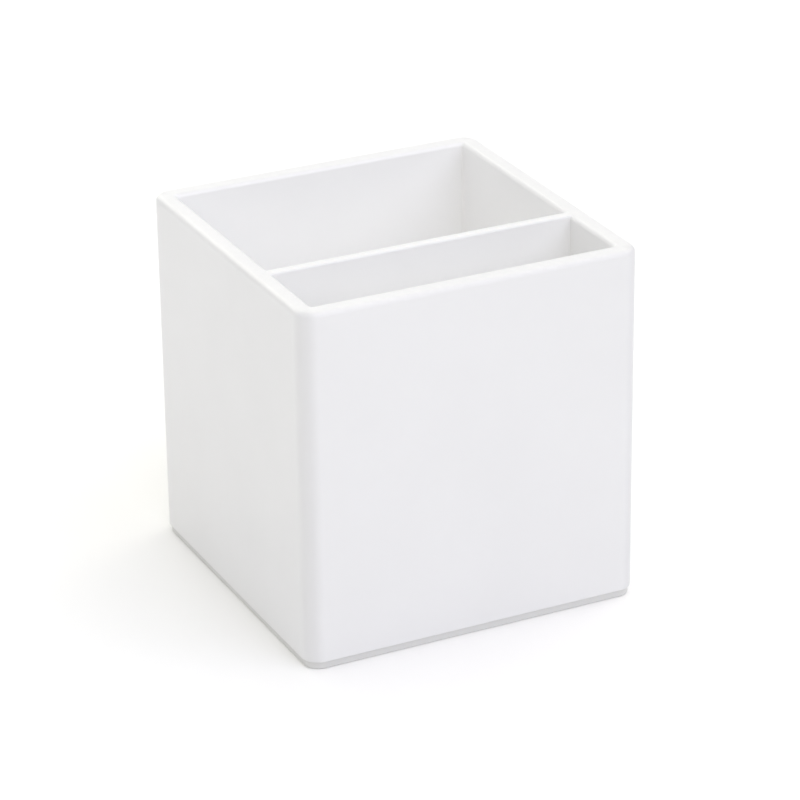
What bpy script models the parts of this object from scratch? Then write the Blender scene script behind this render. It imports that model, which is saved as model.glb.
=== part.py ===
"""Square desk cup for pens, with two compartments. Metres, +Z up.

The cup stands on Z = 0, centred on X = Y = 0, and its front face looks towards -Y.
"""

import math

import bmesh
import bpy
from mathutils import Matrix

# Cup: one moulding with four walls, a floor on a low plinth and rails for the divider
CUP_SIDE = 0.0800
CUP_HEIGHT = 0.0810
WALL = 0.0044
FLOOR = 0.0035
PLINTH_HEIGHT = 0.0016
PLINTH_INSET = 0.0005
STAND = 0.0001
CORNER_RADIUS = 0.0041
RIM_OUTER_RADIUS = 0.0013
RIM_INNER_RADIUS = 0.0010
BASE_RADIUS = 0.0004
CAVITY_CORNER_RADIUS = 0.0006
CAVITY_FLOOR_RADIUS = 0.0005

# Divider: a loose panel whose top is flush with the rim
DIVIDER_THICKNESS = 0.0025
DIVIDER_Y = -0.0149
DIVIDER_TOP_RADIUS = 0.0005
DIVIDER_LEAD_IN = 0.0004
DIVIDER_END_GAP = 0.00015
DIVIDER_FLOOR_GAP = 0.0003

# Rails: a narrow channel up each side wall and across the floor
RAIL_WIDTH = 0.0012
RAIL_DEPTH = 0.0012
RAIL_GAP = 0.0002
RAIL_BELOW_RIM = 0.0120
RAIL_LEAD_IN = 0.0008
FLOOR_RAIL_HEIGHT = 0.0015
RAIL_ROOT = 0.0010
PLINTH_ROOT = 0.0010

# Feet: round non-slip pads in shallow recesses in the underside
FOOT_RADIUS = 0.0050
FOOT_INSET = 0.0110
FOOT_EDGE_RADIUS = 0.0004
FOOT_TOP_CHAMFER = 0.0002
RECESS_DEPTH = 0.0013
RECESS_GAP = 0.0003

# Gate well: the shallow dimple that hides the moulding gate
GATE_WELL_RADIUS = 0.0020
GATE_WELL_DEPTH = 0.0005

# Fineness of the rounded shapes
CORNER_STEPS = 10
EDGE_STEPS = 4
SMALL_STEPS = 3
ROUND_SIDES = 40
SHARP_ANGLE = math.radians(60)
SMOOTH_ANGLE = math.radians(35)
SAME = 1e-6
OVERRUN = 0.005

# Worked out from the dimensions above
PLINTH_BOTTOM = STAND
CUP_BOTTOM = PLINTH_BOTTOM + PLINTH_HEIGHT
RIM = CUP_BOTTOM + CUP_HEIGHT
FLOOR_TOP = CUP_BOTTOM + FLOOR
INSIDE = CUP_SIDE - 2 * WALL
PLINTH_SIDE = CUP_SIDE - 2 * PLINTH_INSET
PLINTH_CORNER_RADIUS = CORNER_RADIUS - PLINTH_INSET
RAIL_OFFSET = DIVIDER_THICKNESS / 2 + RAIL_GAP + RAIL_WIDTH / 2
DIVIDER_BOTTOM = FLOOR_TOP + DIVIDER_FLOOR_GAP
DIVIDER_HEIGHT = RIM - DIVIDER_BOTTOM
FOOT_PLACE = CUP_SIDE / 2 - FOOT_INSET
FOOT_HEIGHT = STAND + RECESS_DEPTH - RECESS_GAP
RECESS_RADIUS = FOOT_RADIUS + RECESS_GAP


def clear_scene():
    for obj in list(bpy.data.objects):
        bpy.data.objects.remove(obj, do_unlink=True)


def new_collection(name):
    collection = bpy.data.collections.new(name)
    bpy.context.scene.collection.children.link(collection)
    return collection


def plastic(name, colour, roughness):
    """A plain moulded material."""
    material = bpy.data.materials.new(name)
    material.use_nodes = True
    shader = material.node_tree.nodes["Principled BSDF"]
    shader.inputs["Base Color"].default_value = (*colour, 1.0)
    shader.inputs["Roughness"].default_value = roughness
    shader.inputs["Metallic"].default_value = 0.0
    return material


def box(width, depth, bottom, top, centre_x=0.0, centre_y=0.0):
    """A bmesh box between two heights."""
    bm = bmesh.new()
    bmesh.ops.create_cube(bm, size=1.0)
    bmesh.ops.scale(bm, vec=(width, depth, top - bottom), verts=bm.verts)
    middle = (centre_x, centre_y, (bottom + top) / 2)
    bmesh.ops.translate(bm, vec=middle, verts=bm.verts)
    return bm


def drum(radius, bottom, top, centre_x=0.0, centre_y=0.0):
    """A bmesh cylinder between two heights."""
    bm = bmesh.new()
    bmesh.ops.create_cone(
        bm,
        cap_ends=True,
        segments=ROUND_SIDES,
        radius1=radius,
        radius2=radius,
        depth=top - bottom,
        matrix=Matrix.Translation((centre_x, centre_y, (bottom + top) / 2)),
    )
    return bm


def round_edges(bm, edges, radius, steps):
    bmesh.ops.bevel(
        bm, geom=edges, offset=radius, segments=steps, profile=0.5, affect="EDGES"
    )


def upright_edges(bm):
    return [
        edge
        for edge in bm.edges
        if (edge.verts[0].co.xy - edge.verts[1].co.xy).length < SAME
    ]


def level_edges(bm, height):
    """The edges that lie at one height."""
    return [
        edge
        for edge in bm.edges
        if all(abs(vert.co.z - height) < SAME for vert in edge.verts)
    ]


def add_object(name, bm, collection, material=None):
    """Turns a bmesh into a named object."""
    mesh = bpy.data.meshes.new(name)
    bmesh.ops.recalc_face_normals(bm, faces=bm.faces)
    bm.to_mesh(mesh)
    bm.free()
    if material:
        mesh.materials.append(material)
    mesh.shade_smooth()
    mesh.set_sharp_from_angle(angle=SMOOTH_ANGLE)
    obj = bpy.data.objects.new(name, mesh)
    collection.objects.link(obj)
    return obj


def add_cutter(name, bm, cutters):
    obj = add_object(name, bm, cutters)
    obj.hide_render = True
    obj.display_type = "WIRE"
    return obj


def boolean(obj, other, operation):
    modifier = obj.modifiers.new(f"{operation.lower()} {other.name}", "BOOLEAN")
    modifier.operation = operation
    modifier.solver = "EXACT"
    modifier.object = other


def make_cavity(cutters):
    """The inside of the cup, as the solid that is taken out."""
    bm = box(INSIDE, INSIDE, FLOOR_TOP, RIM + OVERRUN)
    round_edges(bm, upright_edges(bm), CAVITY_CORNER_RADIUS, SMALL_STEPS)
    round_edges(bm, level_edges(bm, FLOOR_TOP), CAVITY_FLOOR_RADIUS, SMALL_STEPS)
    return add_cutter("cavity", bm, cutters)


def make_wall_rail(name, side, face, cutters):
    """One upright rail; its top slopes away from the panel to guide it in."""
    top = RIM - RAIL_BELOW_RIM
    width = RAIL_DEPTH + RAIL_ROOT
    centre_x = side * (INSIDE / 2 - RAIL_DEPTH + width / 2)
    centre_y = DIVIDER_Y + face * RAIL_OFFSET
    bm = box(width, RAIL_WIDTH, FLOOR_TOP - RAIL_ROOT, top, centre_x, centre_y)
    lead_in = [
        edge
        for edge in level_edges(bm, top)
        if all(face * (vert.co.y - centre_y) < -SAME for vert in edge.verts)
    ]
    bmesh.ops.bevel(
        bm, geom=lead_in, offset=RAIL_LEAD_IN, segments=1, affect="EDGES"
    )
    return add_cutter(name, bm, cutters)


def make_floor_rail(name, face, cutters):
    """One low rail across the floor, between the two wall rails on its side."""
    width = INSIDE + RAIL_ROOT
    bm = box(
        width,
        RAIL_WIDTH,
        FLOOR_TOP - RAIL_ROOT / 2,
        FLOOR_TOP + FLOOR_RAIL_HEIGHT,
        centre_y=DIVIDER_Y + face * RAIL_OFFSET,
    )
    return add_cutter(name, bm, cutters)


def make_rails(cutters):
    rails = []
    for face, face_name in ((-1, "front"), (1, "back")):
        rails.append(make_floor_rail(f"floor_rail_{face_name}", face, cutters))
        for side, side_name in ((-1, "left"), (1, "right")):
            name = f"wall_rail_{face_name}_{side_name}"
            rails.append(make_wall_rail(name, side, face, cutters))
    return rails


def make_plinth(cutters):
    """The step under the cup, set in a little from its sides."""
    bm = box(PLINTH_SIDE, PLINTH_SIDE, PLINTH_BOTTOM, CUP_BOTTOM + PLINTH_ROOT)
    round_edges(bm, upright_edges(bm), PLINTH_CORNER_RADIUS, CORNER_STEPS)
    return add_cutter("plinth", bm, cutters)


def foot_places():
    """Each foot's name and its centre on the underside."""
    for y_sign, y_name in ((-1, "front"), (1, "back")):
        for x_sign, x_name in ((-1, "left"), (1, "right")):
            yield f"foot_{y_name}_{x_name}", x_sign * FOOT_PLACE, y_sign * FOOT_PLACE


def make_wells(cutters):
    """The foot recesses and the gate well, as solids taken out of the underside."""
    below = PLINTH_BOTTOM - OVERRUN
    wells = []
    for name, x, y in foot_places():
        bm = drum(RECESS_RADIUS, below, PLINTH_BOTTOM + RECESS_DEPTH, x, y)
        wells.append(add_cutter(f"recess_{name}", bm, cutters))
    bm = drum(GATE_WELL_RADIUS, below, PLINTH_BOTTOM + GATE_WELL_DEPTH)
    wells.append(add_cutter("gate_well", bm, cutters))
    return wells


def make_cup_body(parts, cutters, material):
    """The outside block, hollowed, with rounded edges, rails, plinth and wells."""
    bm = box(CUP_SIDE, CUP_SIDE, CUP_BOTTOM, RIM)
    round_edges(bm, upright_edges(bm), CORNER_RADIUS, CORNER_STEPS)
    round_edges(bm, level_edges(bm, RIM), RIM_OUTER_RADIUS, EDGE_STEPS)
    round_edges(bm, level_edges(bm, CUP_BOTTOM), BASE_RADIUS, EDGE_STEPS)
    body = add_object("cup_body", bm, parts, material)
    boolean(body, make_cavity(cutters), "DIFFERENCE")

    rim_edge = body.modifiers.new("inner rim edge", "BEVEL")
    rim_edge.limit_method = "ANGLE"
    rim_edge.angle_limit = SHARP_ANGLE
    rim_edge.width = RIM_INNER_RADIUS
    rim_edge.segments = EDGE_STEPS

    for rail in make_rails(cutters):
        boolean(body, rail, "UNION")
    boolean(body, make_plinth(cutters), "UNION")
    for well in make_wells(cutters):
        boolean(body, well, "DIFFERENCE")
    return body


def make_divider_panel(parts, material):
    """The loose panel, with its origin at the middle of its lower edge."""
    width = INSIDE - 2 * DIVIDER_END_GAP
    bm = box(width, DIVIDER_THICKNESS, 0.0, DIVIDER_HEIGHT)
    top = [
        edge
        for edge in level_edges(bm, DIVIDER_HEIGHT)
        if abs(edge.verts[0].co.y - edge.verts[1].co.y) < SAME
    ]
    round_edges(bm, top, DIVIDER_TOP_RADIUS, EDGE_STEPS)
    bmesh.ops.bevel(
        bm, geom=level_edges(bm, 0.0), offset=DIVIDER_LEAD_IN, segments=1, affect="EDGES"
    )
    panel = add_object("divider_panel", bm, parts, material)
    panel.location = (0.0, DIVIDER_Y, DIVIDER_BOTTOM)
    return panel


def foot_profile():
    """Half of a foot's section, from the middle of its top, down, to the middle below."""
    points = [
        (0.0, FOOT_HEIGHT),
        (FOOT_RADIUS - FOOT_TOP_CHAMFER, FOOT_HEIGHT),
        (FOOT_RADIUS, FOOT_HEIGHT - FOOT_TOP_CHAMFER),
    ]
    for step in range(SMALL_STEPS + 1):
        turn = math.pi / 2 * step / SMALL_STEPS
        across = FOOT_RADIUS - FOOT_EDGE_RADIUS * (1 - math.cos(turn))
        points.append((across, FOOT_EDGE_RADIUS * (1 - math.sin(turn))))
    points.append((0.0, 0.0))
    return points


def make_foot(name, x, y, parts, material):
    """One turned pad that stands on Z = 0."""
    mesh = bpy.data.meshes.new(name)
    points = foot_profile()
    edges = [(n, n + 1) for n in range(len(points) - 1)]
    mesh.from_pydata([(across, 0.0, up) for across, up in points], edges, [])
    mesh.materials.append(material)
    foot = bpy.data.objects.new(name, mesh)
    parts.objects.link(foot)
    foot.location = (x, y, 0.0)
    turn = foot.modifiers.new("turn", "SCREW")
    turn.steps = turn.render_steps = ROUND_SIDES
    turn.use_merge_vertices = True
    turn.merge_threshold = SAME
    return foot


def main():
    clear_scene()
    parts = new_collection("pen_cup")
    cutters = new_collection("cutters")
    white_plastic = plastic("white_plastic", (0.83, 0.83, 0.84), 0.35)
    pad_rubber = plastic("pad_rubber", (0.60, 0.60, 0.60), 0.70)

    make_cup_body(parts, cutters, white_plastic)
    make_divider_panel(parts, white_plastic)
    for name, x, y in foot_places():
        make_foot(name, x, y, parts, pad_rubber)


main()
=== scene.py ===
"""Looks of a square white pen cup with a lift-out divider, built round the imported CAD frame."""
import math

import bmesh
import bpy
from mathutils import Matrix, Vector


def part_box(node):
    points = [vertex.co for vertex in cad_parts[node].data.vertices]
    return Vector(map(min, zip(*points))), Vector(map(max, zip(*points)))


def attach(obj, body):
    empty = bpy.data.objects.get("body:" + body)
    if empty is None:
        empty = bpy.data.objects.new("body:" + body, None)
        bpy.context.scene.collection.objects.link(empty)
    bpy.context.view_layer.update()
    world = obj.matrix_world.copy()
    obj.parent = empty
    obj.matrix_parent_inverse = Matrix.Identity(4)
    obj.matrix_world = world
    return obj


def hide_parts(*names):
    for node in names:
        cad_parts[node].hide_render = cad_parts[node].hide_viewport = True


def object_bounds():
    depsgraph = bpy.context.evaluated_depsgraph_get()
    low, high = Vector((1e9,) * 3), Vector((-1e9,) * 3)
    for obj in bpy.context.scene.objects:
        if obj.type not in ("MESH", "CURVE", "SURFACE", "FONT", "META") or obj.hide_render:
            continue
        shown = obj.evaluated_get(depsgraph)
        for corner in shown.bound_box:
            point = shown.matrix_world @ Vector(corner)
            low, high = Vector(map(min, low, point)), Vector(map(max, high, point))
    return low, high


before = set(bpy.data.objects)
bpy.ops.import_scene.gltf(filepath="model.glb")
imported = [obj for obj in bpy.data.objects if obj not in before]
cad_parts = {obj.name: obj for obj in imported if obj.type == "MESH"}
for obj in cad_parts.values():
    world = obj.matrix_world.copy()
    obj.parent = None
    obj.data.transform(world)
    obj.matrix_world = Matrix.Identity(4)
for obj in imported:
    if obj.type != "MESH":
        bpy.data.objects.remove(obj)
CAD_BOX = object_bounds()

MM = 0.001

# The frame's own sizes: where each CAD piece begins and ends
CUP_LOW, CUP_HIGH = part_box("cup_body")
PANEL_LOW, PANEL_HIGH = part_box("divider_panel")
FOOT_NAMES = [f"foot_{y}_{x}" for y in ("front", "back") for x in ("left", "right")]
FOOT_LOW, FOOT_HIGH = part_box(FOOT_NAMES[0])

# Fits between the pieces, as the CAD leaves them
PANEL_END_GAP = 0.15 * MM
PANEL_FLOOR_GAP = 0.3 * MM
FOOT_GAP = 0.3 * MM

# Cup
HALF = CUP_HIGH.x
RIM = CUP_HIGH.z
PLINTH_LOW = CUP_LOW.z
PLINTH_HEIGHT = 1.6 * MM
PLINTH_INSET = 0.5 * MM
PLINTH_EDGE_RADIUS = 0.1 * MM
BASE = PLINTH_LOW + PLINTH_HEIGHT
INSIDE_HALF = PANEL_HIGH.x + PANEL_END_GAP
FLOOR_TOP = PANEL_LOW.z - PANEL_FLOOR_GAP
CORNER_RADIUS = 4.1 * MM
RIM_OUTER_RADIUS = 1.3 * MM
RIM_INNER_RADIUS = 1.0 * MM
BASE_RADIUS = 0.4 * MM
CAVITY_CORNER_RADIUS = 0.6 * MM
CAVITY_FLOOR_RADIUS = 0.5 * MM
GATE_WELL_RADIUS = 2.0 * MM
GATE_WELL_DEPTH = 0.5 * MM
GATE_STUB_RADIUS = 0.6 * MM
GATE_STUB_HEIGHT = 0.3 * MM
WELL_EDGE_RADIUS = 0.15 * MM

# Rails that guide the divider
PANEL_Y = (PANEL_LOW.y + PANEL_HIGH.y) / 2
PANEL_THICKNESS = PANEL_HIGH.y - PANEL_LOW.y
RAIL_WIDTH = 1.2 * MM
RAIL_DEPTH = 1.2 * MM
RAIL_GAP = 0.2 * MM
RAIL_BELOW_RIM = 12.0 * MM
RAIL_OFFSET = PANEL_THICKNESS / 2 + RAIL_GAP + RAIL_WIDTH / 2
RAIL_TOP = RIM - RAIL_BELOW_RIM
RAIL_LEAD_IN = 0.8 * MM
RAIL_EDGE_RADIUS = 0.2 * MM
RAIL_ROOT = 1.0 * MM
FLOOR_RAIL_HEIGHT = 1.5 * MM
FLOOR_RAIL_TOP = FLOOR_TOP + FLOOR_RAIL_HEIGHT

# Divider
PANEL_TOP_RADIUS = 0.5 * MM
PANEL_LEAD_IN = 0.4 * MM
SEAM = 0.005 * MM
SEAT_DEPTH = 1.8 * MM

# Feet
FOOT_PLACE = Vector(((FOOT_LOW.x + FOOT_HIGH.x) / 2, (FOOT_LOW.y + FOOT_HIGH.y) / 2))
FOOT_RADIUS = (FOOT_HIGH.x - FOOT_LOW.x) / 2
FOOT_EDGE_RADIUS = 0.4 * MM
FOOT_TOP_CHAMFER = 0.2 * MM
RECESS_RADIUS = FOOT_RADIUS + FOOT_GAP
RECESS_TOP = FOOT_HIGH.z + FOOT_GAP

# Fineness of the meshes
CORNER_STEPS = 28
SIDE_STEPS = 16
EDGE_STEPS = 10
SMALL_STEPS = 6
ROUND_SIDES = 96
SAME = 1e-6
OVERRUN = 2.0 * MM
SMOOTH_ANGLE = math.radians(30)

# Camera: turned to the left of the front face and looking down on the cup
VIEW_TURN = math.radians(25.82)
VIEW_DROP = math.radians(24.40)
VIEW_ROLL = math.radians(-0.74)
VIEW_DISTANCE = 802.1 * MM
VIEW_OFFSET = Vector((0.16, -3.04, -0.52)) * MM
LENS = 162.95
SENSOR = 36.0


# ---------------------------------------------------------------- mesh helpers


def arc(steps):
    """Pairs (sine, cosine) along a quarter turn."""
    for step in range(steps + 1):
        turn = math.pi / 2 * step / steps
        yield math.sin(turn), math.cos(turn)


def rounded_square(half, radius, height):
    """The points of a level square with rounded corners, anticlockwise from above."""
    corners = []
    for corner in range(4):
        turn = math.pi / 2 * corner
        centre = Matrix.Rotation(turn, 2) @ Vector((half - radius, half - radius))
        arm = [
            Matrix.Rotation(turn, 2) @ Vector((radius * cosine, radius * sine))
            for sine, cosine in arc(CORNER_STEPS)
        ]
        corners.append([centre + point for point in arm])
    ring = []
    for here, after in zip(corners, corners[1:] + corners[:1]):
        ring += here
        ring += [
            here[-1].lerp(after[0], step / SIDE_STEPS) for step in range(1, SIDE_STEPS)
        ]
    return [(point.x, point.y, height) for point in ring]


def loft(rings):
    """A closed bmesh through a list of rings, with a flat face at each end."""
    bm = bmesh.new()
    rows = [[bm.verts.new(point) for point in ring] for ring in rings]
    for lower, upper in zip(rows, rows[1:]):
        count = len(lower)
        for n in range(count):
            after = (n + 1) % count
            bm.faces.new((lower[n], lower[after], upper[after], upper[n]))
    bm.faces.new(reversed(rows[0]))
    bm.faces.new(rows[-1])
    return bm


def box(low, high):
    """A bmesh box between two corners."""
    bm = bmesh.new()
    bmesh.ops.create_cube(bm, size=1.0)
    low, high = Vector(low), Vector(high)
    bmesh.ops.scale(bm, vec=high - low, verts=bm.verts)
    bmesh.ops.translate(bm, vec=(low + high) / 2, verts=bm.verts)
    return bm


def turned(profile, centre_x, centre_y):
    """A bmesh turned about an upright axis; the profile runs from axis to axis."""
    bm = bmesh.new()
    rows = []
    for across, up in profile:
        if across < SAME:
            rows.append([bm.verts.new((centre_x, centre_y, up))] * ROUND_SIDES)
            continue
        row = []
        for n in range(ROUND_SIDES):
            turn = 2 * math.pi * n / ROUND_SIDES
            x = centre_x + across * math.cos(turn)
            y = centre_y + across * math.sin(turn)
            row.append(bm.verts.new((x, y, up)))
        rows.append(row)
    for lower, upper in zip(rows, rows[1:]):
        for n in range(ROUND_SIDES):
            after = (n + 1) % ROUND_SIDES
            corners = (lower[n], lower[after], upper[after], upper[n])
            bm.faces.new(dict.fromkeys(corners))
    bmesh.ops.recalc_face_normals(bm, faces=bm.faces)
    return bm


def bevel(bm, edges, radius, steps):
    bmesh.ops.bevel(
        bm, geom=edges, offset=radius, segments=steps, profile=0.5, affect="EDGES"
    )


def edges_where(bm, test):
    """The edges whose two ends both pass a test."""
    return [edge for edge in bm.edges if all(test(vert.co) for vert in edge.verts)]


def new_object(name, bm):
    mesh = bpy.data.meshes.new(name)
    bm.to_mesh(mesh)
    bm.free()
    obj = bpy.data.objects.new(name, mesh)
    bpy.context.scene.collection.objects.link(obj)
    return obj


def combine(obj, tools, operation):
    """Cuts the tools out of an object, or joins them to it, and removes them."""
    for tool in tools:
        modifier = obj.modifiers.new(tool.name, "BOOLEAN")
        modifier.operation = operation
        modifier.solver = "EXACT"
        modifier.object = tool
    settle(obj)
    for tool in tools:
        bpy.data.objects.remove(tool)


def settle(obj):
    """Turns an object's modifiers into mesh."""
    graph = bpy.context.evaluated_depsgraph_get()
    mesh = bpy.data.meshes.new_from_object(obj.evaluated_get(graph))
    obj.modifiers.clear()
    obj.data = mesh


def smooth(obj):
    """Smooth shading on the rounded edges, with the flat faces kept flat."""
    obj.data.shade_smooth()
    obj.data.set_sharp_from_angle(angle=SMOOTH_ANGLE)
    weighted = obj.modifiers.new("flat faces", "WEIGHTED_NORMAL")
    weighted.keep_sharp = True
    weighted.weight = 100
    settle(obj)


# ---------------------------------------------------------------- cup


def cup_rings():
    """The cup's section as rings, from the underside up the outside and down the inside."""
    rings = []
    for sine, cosine in arc(SMALL_STEPS):
        inset = PLINTH_INSET + PLINTH_EDGE_RADIUS * (1 - sine)
        height = PLINTH_LOW + PLINTH_EDGE_RADIUS * (1 - cosine)
        rings.append(rounded_square(HALF - inset, CORNER_RADIUS - inset, height))
    rings.append(rounded_square(HALF - PLINTH_INSET, CORNER_RADIUS - PLINTH_INSET, BASE))
    for sine, cosine in arc(EDGE_STEPS):
        inset = BASE_RADIUS * (1 - sine)
        height = BASE + BASE_RADIUS * (1 - cosine)
        rings.append(rounded_square(HALF - inset, CORNER_RADIUS - inset, height))
    for sine, cosine in arc(EDGE_STEPS):
        inset = RIM_OUTER_RADIUS * (1 - cosine)
        height = RIM - RIM_OUTER_RADIUS * (1 - sine)
        rings.append(rounded_square(HALF - inset, CORNER_RADIUS - inset, height))
    for sine, cosine in arc(EDGE_STEPS):
        outset = RIM_INNER_RADIUS * (1 - sine)
        height = RIM - RIM_INNER_RADIUS * (1 - cosine)
        radius = CAVITY_CORNER_RADIUS + outset
        rings.append(rounded_square(INSIDE_HALF + outset, radius, height))
    for sine, cosine in arc(SMALL_STEPS):
        inset = CAVITY_FLOOR_RADIUS * (1 - cosine)
        height = FLOOR_TOP + CAVITY_FLOOR_RADIUS * (1 - sine)
        radius = CAVITY_CORNER_RADIUS - inset
        rings.append(rounded_square(INSIDE_HALF - inset, radius, height))
    return rings


def wall_rail(side, face):
    """One upright rail; its top slopes away from the divider to guide it in."""
    inner = side * (INSIDE_HALF - RAIL_DEPTH)
    outer = side * (INSIDE_HALF + RAIL_ROOT)
    middle = PANEL_Y + face * RAIL_OFFSET
    bm = box(
        (min(inner, outer), middle - RAIL_WIDTH / 2, FLOOR_TOP - RAIL_ROOT),
        (max(inner, outer), middle + RAIL_WIDTH / 2, RAIL_TOP),
    )
    lead_in = edges_where(
        bm, lambda co: co.z > RAIL_TOP - SAME and face * (co.y - middle) < 0
    )
    bevel(bm, lead_in, RAIL_LEAD_IN, 1)
    inward = edges_where(bm, lambda co: abs(co.x - inner) < SAME)
    bevel(bm, inward, RAIL_EDGE_RADIUS, SMALL_STEPS)
    return new_object("wall_rail", bm)


def floor_rail(face):
    """One low rail across the floor."""
    middle = PANEL_Y + face * RAIL_OFFSET
    reach = INSIDE_HALF + RAIL_ROOT / 2
    bm = box(
        (-reach, middle - RAIL_WIDTH / 2, FLOOR_TOP - RAIL_ROOT / 2),
        (reach, middle + RAIL_WIDTH / 2, FLOOR_RAIL_TOP),
    )
    crest = edges_where(bm, lambda co: co.z > FLOOR_RAIL_TOP - SAME)
    bevel(bm, crest, RAIL_EDGE_RADIUS, SMALL_STEPS)
    return new_object("floor_rail", bm)


def panel_section(x, bottom):
    """The divider's section at one place along it, with its top edges rounded."""
    half = PANEL_THICKNESS / 2
    crown = [
        (half - PANEL_TOP_RADIUS * (1 - sine), RIM - PANEL_TOP_RADIUS * (1 - cosine))
        for sine, cosine in arc(EDGE_STEPS)
    ]
    outline = [(-half, bottom), (half, bottom)]
    outline += [(across, up) for across, up in reversed(crown)]
    outline += [(-across, up) for across, up in crown]
    return [(x, PANEL_Y + across, up) for across, up in outline]


def rim_seat(side):
    """A stub of the divider's section on the rim, so that its top runs on into the rim."""
    near = side * (INSIDE_HALF - SEAM / 2)
    far = side * (INSIDE_HALF + RIM_INNER_RADIUS + RIM_OUTER_RADIUS)
    rings = [panel_section(x, RIM - SEAT_DEPTH) for x in (near, far)]
    bm = loft(rings)
    bmesh.ops.recalc_face_normals(bm, faces=bm.faces)
    return new_object("rim_seat", bm)


def well(radius, top, x, y):
    """A round well in the underside, with a rounded mouth, as the solid that is cut out."""
    below = PLINTH_LOW - OVERRUN
    profile = [(0.0, below), (radius + WELL_EDGE_RADIUS, below)]
    for sine, cosine in arc(SMALL_STEPS):
        across = radius + WELL_EDGE_RADIUS * (1 - sine)
        profile.append((across, PLINTH_LOW + WELL_EDGE_RADIUS * (1 - cosine)))
    profile += [(radius, top), (0.0, top)]
    return new_object("well", turned(profile, x, y))


def gate_stub():
    """What is left of the moulding gate in the middle of its well."""
    top = PLINTH_LOW + GATE_WELL_DEPTH
    tip = top - GATE_STUB_HEIGHT
    profile = [
        (0.0, top + WELL_EDGE_RADIUS),
        (GATE_STUB_RADIUS, top + WELL_EDGE_RADIUS),
        (GATE_STUB_RADIUS, tip + WELL_EDGE_RADIUS),
        (GATE_STUB_RADIUS - WELL_EDGE_RADIUS, tip),
        (0.0, tip),
    ]
    return new_object("gate_stub", turned(profile, 0.0, 0.0))


def make_cup():
    cup = new_object("cup_shell", loft(cup_rings()))
    sides = (-1, 1)
    rails = [wall_rail(side, face) for side in sides for face in sides]
    rails += [floor_rail(face) for face in sides]
    seats = [rim_seat(side) for side in sides]
    wells = [
        well(RECESS_RADIUS, RECESS_TOP, x_sign * FOOT_PLACE.x, y_sign * FOOT_PLACE.y)
        for x_sign in sides
        for y_sign in sides
    ]
    wells.append(well(GATE_WELL_RADIUS, PLINTH_LOW + GATE_WELL_DEPTH, 0.0, 0.0))
    combine(cup, rails + seats, "UNION")
    combine(cup, wells, "DIFFERENCE")
    combine(cup, [gate_stub()], "UNION")
    smooth(cup)
    return cup


# ---------------------------------------------------------------- divider and feet


def make_divider():
    reach = INSIDE_HALF - SEAM
    stations = [-reach + 2 * reach * n / SIDE_STEPS for n in range(SIDE_STEPS + 1)]
    bm = loft([panel_section(x, PANEL_LOW.z) for x in stations])
    bmesh.ops.recalc_face_normals(bm, faces=bm.faces)
    lower = edges_where(bm, lambda co: co.z < PANEL_LOW.z + SAME)
    rim_edges = [
        edge for edge in lower if abs(edge.calc_face_angle(0.0)) > SMOOTH_ANGLE
    ]
    bevel(bm, rim_edges, PANEL_LEAD_IN, SMALL_STEPS)
    panel = new_object("divider_plate", bm)
    smooth(panel)
    return panel


def foot_profile():
    """Half of a foot's section, from the middle of its top to the middle below."""
    top = FOOT_HIGH.z
    profile = [
        (0.0, top),
        (FOOT_RADIUS - FOOT_TOP_CHAMFER, top),
        (FOOT_RADIUS, top - FOOT_TOP_CHAMFER),
    ]
    for sine, cosine in arc(SMALL_STEPS):
        across = FOOT_RADIUS - FOOT_EDGE_RADIUS * (1 - cosine)
        profile.append((across, FOOT_EDGE_RADIUS * (1 - sine)))
    return profile + [(0.0, 0.0)]


def make_foot(node):
    low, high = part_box(node)
    bm = turned(foot_profile(), (low.x + high.x) / 2, (low.y + high.y) / 2)
    foot = new_object(f"{node}_pad", bm)
    smooth(foot)
    return foot


# ---------------------------------------------------------------- materials


def node(tree, kind, inputs=(), **settings):
    """Adds a shader node; an input is a plain value or another node's output."""
    made = tree.nodes.new(kind)
    for name, value in settings.items():
        setattr(made, name, value)
    for name, value in dict(inputs).items():
        if isinstance(value, bpy.types.NodeSocket):
            tree.links.new(value, made.inputs[name])
        else:
            made.inputs[name].default_value = value
    return made


def new_material(name):
    material = bpy.data.materials.new(name)
    material.use_nodes = True
    tree = material.node_tree
    shader = tree.nodes["Principled BSDF"]
    place = node(tree, "ShaderNodeTexCoord").outputs["Object"]
    return material, tree, shader, place


def noise(tree, place, size, detail=2.0, roughness=0.5):
    """Cloudy noise whose patches are about one size across."""
    inputs = {"Vector": place, "Scale": 1 / size, "Detail": detail, "Roughness": roughness}
    return node(tree, "ShaderNodeTexNoise", inputs).outputs["Fac"]


def math_node(tree, operation, first, second=0.0, third=0.0):
    inputs = {0: first, 1: second, 2: third}
    return node(tree, "ShaderNodeMath", inputs, operation=operation).outputs[0]


def ramp(tree, value, low, high, to_low=0.0, to_high=1.0):
    """Smoothly maps low...high to to_low...to_high and stays there outside it."""
    inputs = {
        "Value": value,
        "From Min": low,
        "From Max": high,
        "To Min": to_low,
        "To Max": to_high,
    }
    made = node(tree, "ShaderNodeMapRange", inputs, interpolation_type="SMOOTHSTEP")
    return made.outputs["Result"]


def blend(tree, share, first, second):
    """Mixes two colours."""
    made = node(tree, "ShaderNodeMix", data_type="RGBA")
    for socket, value in ((made.inputs[6], first), (made.inputs[7], second)):
        if isinstance(value, bpy.types.NodeSocket):
            tree.links.new(value, socket)
        else:
            socket.default_value = (*value, 1.0)
    tree.links.new(share, made.inputs[0])
    return made.outputs[2]


def bump(tree, height, distance, normal=None):
    inputs = {"Height": height, "Distance": distance, "Strength": 1.0}
    if normal:
        inputs["Normal"] = normal
    return node(tree, "ShaderNodeBump", inputs).outputs["Normal"]


CORNER_FADE_BEGINS = 0.95 * CORNER_RADIUS
CORNER_FADE_ENDS = 0.40 * CORNER_RADIUS


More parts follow.
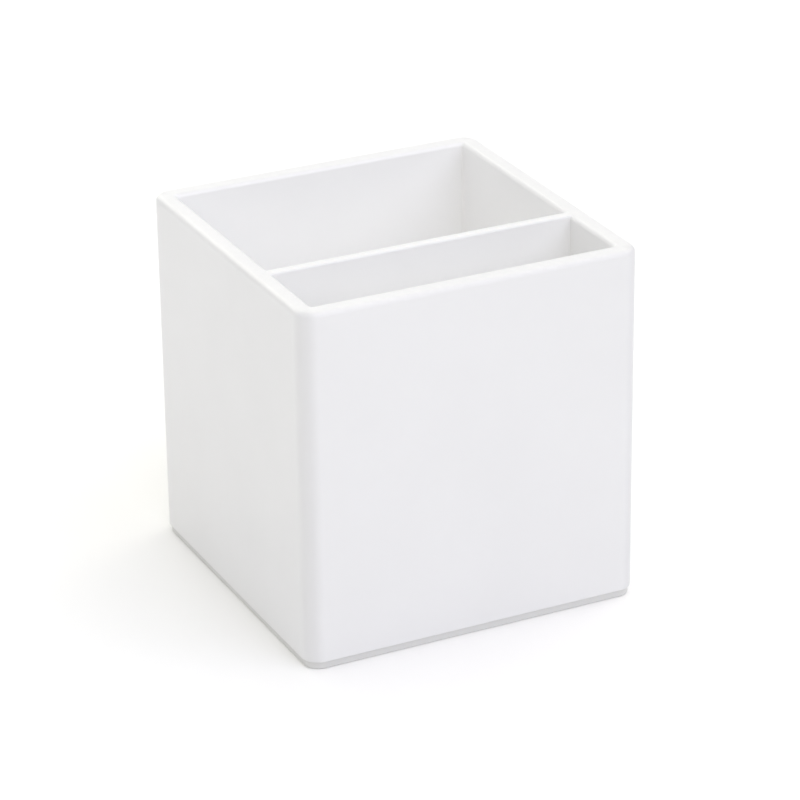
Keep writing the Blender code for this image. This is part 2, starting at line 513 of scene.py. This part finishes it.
def corner_share(tree, place):
    """1 on the upright outer corners, 0 on the flat faces."""
    axes = node(tree, "ShaderNodeSeparateXYZ", {0: place}).outputs
    corner = math_node(
        tree, "MINIMUM", *[math_node(tree, "ABSOLUTE", axes[n]) for n in (0, 1)]
    )
    return ramp(tree, corner, HALF - CORNER_FADE_BEGINS, HALF - CORNER_FADE_ENDS)


def edge_share(tree, place):
    """1 on the rim, the base edge and the upright corners, 0 on the flat faces."""
    height = node(tree, "ShaderNodeSeparateXYZ", {0: place}).outputs[2]
    top = ramp(tree, height, RIM - RIM_OUTER_RADIUS, RIM - 0.2 * RIM_OUTER_RADIUS)
    foot = ramp(tree, height, BASE + 2.0 * BASE_RADIUS, BASE + 0.5 * BASE_RADIUS)
    ends = math_node(tree, "MAXIMUM", top, foot)
    return math_node(tree, "MAXIMUM", corner_share(tree, place), ends)


# Tones of the plastic. The lighter inside stands for light that the plastic passes on.
# The darker upright corners and plinth are painted shade, which the lights don't give.
PLASTIC_OUTSIDE = (0.782, 0.782, 0.787)
PLASTIC_INSIDE = (0.920, 0.920, 0.922)
PLASTIC_POLISHED = (0.795, 0.795, 0.800)
PLASTIC_CORNER_SHADE = (0.729, 0.729, 0.736)
PLASTIC_PLINTH_SHADE = (0.660, 0.660, 0.650)
TONE_DRIFT = 0.985
DIVIDER_TOP_SHARE = 0.2
CORNER_SHADE_LEAST = 0.7

# Where one tone gives way to the next
TONE_STEP = 0.1 * MM
INSIDE_BEGINS = BASE + 1.5 * MM
INSIDE_FULL = FLOOR_TOP - 0.5 * MM

# Sizes of the plastic's patterns, and how glossy and how deep they are
DRIFT_SIZE = 26 * MM
SMUDGE_SIZE = 9 * MM
SPECK_SIZE = 1.6 * MM
PEEL_SIZE = 2.2 * MM
PEEL_DEPTH = 0.003 * MM
GRAIN_SIZE = 0.30 * MM
GRAIN_DEPTH = 0.0006 * MM
GLOSS_LOW = 0.30
GLOSS_HIGH = 0.36
WORN_DULLING = 0.06
PLASTIC_IOR = 1.50


def inside_share(tree, place):
    """1 on the divider and in the compartments, less on the divider's top, 0 elsewhere."""
    axes = node(tree, "ShaderNodeSeparateXYZ", {0: place}).outputs
    across = [math_node(tree, "ABSOLUTE", axes[n]) for n in (0, 1)]
    reach = math_node(tree, "MAXIMUM", *across)
    within = ramp(tree, reach, INSIDE_HALF + RIM_INNER_RADIUS, INSIDE_HALF + TONE_STEP)
    full = RIM - 0.7 * RIM_INNER_RADIUS
    below_rim = ramp(tree, axes[2], RIM, full, DIVIDER_TOP_SHARE, 1.0)
    above_base = ramp(tree, axes[2], INSIDE_BEGINS, INSIDE_FULL)
    share = math_node(tree, "MULTIPLY", within, below_rim)
    return math_node(tree, "MULTIPLY", share, above_base)


def plastic_tone(tree, place, drift, worn):
    """The plastic's colour at each place."""
    tone = blend(tree, worn, PLASTIC_OUTSIDE, PLASTIC_POLISHED)
    patchy = ramp(tree, drift, 0.1, 0.5, CORNER_SHADE_LEAST, 1.0)
    # Painted shade: the upright outer corners are darker, in patches.
    corner_shade = math_node(tree, "MULTIPLY", corner_share(tree, place), patchy)
    tone = blend(tree, corner_shade, tone, PLASTIC_CORNER_SHADE)
    tone = blend(tree, inside_share(tree, place), tone, PLASTIC_INSIDE)
    height = node(tree, "ShaderNodeSeparateXYZ", {0: place}).outputs[2]
    # Painted shade: the plinth, under the overhang, is darker.
    plinth = ramp(tree, height, BASE, BASE - TONE_STEP)
    tone = blend(tree, plinth, tone, PLASTIC_PLINTH_SHADE)
    scale = ramp(tree, drift, 0.35, 0.70, 1.0, TONE_DRIFT)
    inputs = {0: tone, "Scale": scale}
    return node(tree, "ShaderNodeVectorMath", inputs, operation="SCALE").outputs[0]


def white_plastic():
    """Satin moulded plastic: faint grain, slow drift in tone, worn edges, painted shade on the
    upright corners and plinth.
    """
    material, tree, shader, place = new_material("white_plastic_satin")
    drift = noise(tree, place, DRIFT_SIZE, detail=3.0)
    smudge = noise(tree, place, SMUDGE_SIZE, detail=4.0, roughness=0.6)
    speck = noise(tree, place, SPECK_SIZE, detail=2.0, roughness=0.6)
    worn = math_node(
        tree, "MULTIPLY", edge_share(tree, place), ramp(tree, speck, 0.42, 0.60)
    )
    tone = plastic_tone(tree, place, drift, worn)
    tree.links.new(tone, shader.inputs["Base Color"])

    gloss = ramp(tree, smudge, 0.30, 0.72, GLOSS_LOW, GLOSS_HIGH)
    gloss = math_node(tree, "MULTIPLY_ADD", worn, WORN_DULLING, gloss)
    tree.links.new(gloss, shader.inputs["Roughness"])

    peel = noise(tree, place, PEEL_SIZE, detail=1.0)
    grain = noise(tree, place, GRAIN_SIZE, detail=2.0)
    surface = bump(tree, peel, PEEL_DEPTH)
    surface = bump(tree, grain, GRAIN_DEPTH, surface)
    tree.links.new(surface, shader.inputs["Normal"])
    shader.inputs["IOR"].default_value = PLASTIC_IOR
    return material


RUBBER = (0.58, 0.58, 0.575)
RUBBER_DUSTY = (0.66, 0.66, 0.65)
RUBBER_GRAIN_SIZE = 0.22 * MM
RUBBER_GRAIN_DEPTH = 0.02 * MM
DUST_SIZE = 2.5 * MM
RUBBER_IOR = 1.45


def pad_rubber():
    """Matte soft rubber with a fine grain and dust on it."""
    material, tree, shader, place = new_material("pad_rubber_matte")
    grain = noise(tree, place, RUBBER_GRAIN_SIZE, detail=3.0, roughness=0.6)
    dust = noise(tree, place, DUST_SIZE, detail=4.0, roughness=0.65)
    tone = blend(tree, ramp(tree, dust, 0.42, 0.68), RUBBER, RUBBER_DUSTY)
    tree.links.new(tone, shader.inputs["Base Color"])
    gloss = ramp(tree, dust, 0.35, 0.70, 0.62, 0.82)
    tree.links.new(gloss, shader.inputs["Roughness"])
    surface = bump(tree, grain, RUBBER_GRAIN_DEPTH)
    tree.links.new(surface, shader.inputs["Normal"])
    shader.inputs["IOR"].default_value = RUBBER_IOR
    return material


def finish_piece(piece, material, body, slot, *nodes):
    """Gives a piece its material and ties it to the frame."""
    piece.data.materials.clear()
    piece.data.materials.append(material)
    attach(piece, body)
    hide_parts(*nodes)


# ---------------------------------------------------------------- studio

FLOOR_REACH = 20.0
FLOOR_GRID = 8
FLOOR_TONE = (0.93, 0.93, 0.93)
FLOOR_ROUGHNESS = 0.8
FLOOR_SPECULAR = 0.1
BACKDROP_RADIUS = 5.0
BACKDROP_HEIGHT = 1.5
MOST_BOUNCES = 16
DIFFUSE_BOUNCES = 12

# Colours of the lights
COOL = (0.90, 0.91, 1.00)
WARM = (1.00, 0.94, 0.80)
CREAM = (1.00, 1.00, 0.88)

# Strengths of the lights
KEY = 1.15
SIDE = 0.80
FILL = 0.60

# Name, turn, rise and spread in degrees, strength, colour
LIGHTS = (
    ("front_key", 22, 45, 60, KEY, COOL),
    ("front_left", 315, 45, 60, SIDE, WARM),
    ("right", 90, 45, 60, FILL, WARM),
    ("back_right", 135, 45, 60, FILL, CREAM),
    ("back_left", 225, 45, 60, FILL, CREAM),
    ("back_low", 180, 20, 40, FILL, CREAM),
)
ROOM_GLOW = (0.33, 0.34, 0.39)


def make_floor():
    """A plain white floor that reaches past the horizon."""
    bm = bmesh.new()
    bmesh.ops.create_grid(
        bm, x_segments=FLOOR_GRID, y_segments=FLOOR_GRID, size=FLOOR_REACH
    )
    floor = new_object("floor", bm)
    material, _, shader, _ = new_material("floor_white")
    shader.inputs["Base Color"].default_value = (*FLOOR_TONE, 1.0)
    shader.inputs["Roughness"].default_value = FLOOR_ROUGHNESS
    shader.inputs["Specular IOR Level"].default_value = FLOOR_SPECULAR
    floor.data.materials.append(material)


def make_backdrop():
    """A white wall all round, far from the cup, that only the camera sees."""
    bm = bmesh.new()
    bmesh.ops.create_cone(
        bm,
        segments=ROUND_SIDES,
        radius1=BACKDROP_RADIUS,
        radius2=BACKDROP_RADIUS,
        depth=BACKDROP_HEIGHT,
    )
    backdrop = new_object("backdrop", bm)
    backdrop.location.z = BACKDROP_HEIGHT / 2
    material, _, shader, _ = new_material("backdrop_white")
    shader.inputs["Base Color"].default_value = (0.0, 0.0, 0.0, 1.0)
    shader.inputs["Specular IOR Level"].default_value = 0.0
    shader.inputs["Emission Color"].default_value = (1.0, 1.0, 1.0, 1.0)
    shader.inputs["Emission Strength"].default_value = 1.0
    backdrop.data.materials.append(material)
    backdrop.visible_diffuse = False
    backdrop.visible_glossy = False
    backdrop.visible_shadow = False


def make_world():
    """An even, faintly blue glow from the room."""
    world = bpy.data.worlds.new("studio")
    bpy.context.scene.world = world
    world.use_nodes = True
    world.node_tree.nodes["Background"].inputs["Color"].default_value = (*ROOM_GLOW, 1.0)


def make_light(name, turn, rise, spread, strength, colour):
    """A wide soft light. Turn 0 is straight in front of the cup, 90 to its right."""
    data = bpy.data.lights.new(name, "SUN")
    data.energy = strength
    data.angle = math.radians(spread)
    data.color = colour
    light = bpy.data.objects.new(name, data)
    turn, rise = math.radians(turn), math.radians(rise)
    towards = Vector(
        (math.sin(turn) * math.cos(rise), -math.cos(turn) * math.cos(rise), math.sin(rise))
    )
    light.rotation_mode = "QUATERNION"
    light.rotation_quaternion = towards.to_track_quat("Z", "Y")
    bpy.context.scene.collection.objects.link(light)


def make_camera():
    data = bpy.data.cameras.new("camera")
    data.lens = LENS
    data.sensor_width = SENSOR
    camera = bpy.data.objects.new("camera", data)
    bpy.context.scene.collection.objects.link(camera)
    turned_to = (
        Matrix.Rotation(-VIEW_TURN, 4, "Z")
        @ Matrix.Rotation(math.pi / 2 - VIEW_DROP, 4, "X")
        @ Matrix.Rotation(VIEW_ROLL, 4, "Z")
    )
    aim = (CAD_BOX[0] + CAD_BOX[1]) / 2 + VIEW_OFFSET
    back = turned_to @ Vector((0.0, 0.0, VIEW_DISTANCE))
    camera.matrix_world = Matrix.Translation(aim + back) @ turned_to
    bpy.context.scene.camera = camera


def main():
    plastic, rubber = white_plastic(), pad_rubber()
    finish_piece(make_cup(), plastic, "cup", "white_plastic", "cup_body")
    finish_piece(make_divider(), plastic, "divider", "white_plastic", "divider_panel")
    for name in FOOT_NAMES:
        finish_piece(make_foot(name), rubber, "cup", "pad_rubber", name)
    make_floor()
    make_backdrop()
    make_world()
    for light in LIGHTS:
        make_light(*light)
    make_camera()
    scene = bpy.context.scene
    scene.view_settings.view_transform = "Standard"
    scene.cycles.max_bounces = MOST_BOUNCES
    scene.cycles.diffuse_bounces = DIFFUSE_BOUNCES


main()
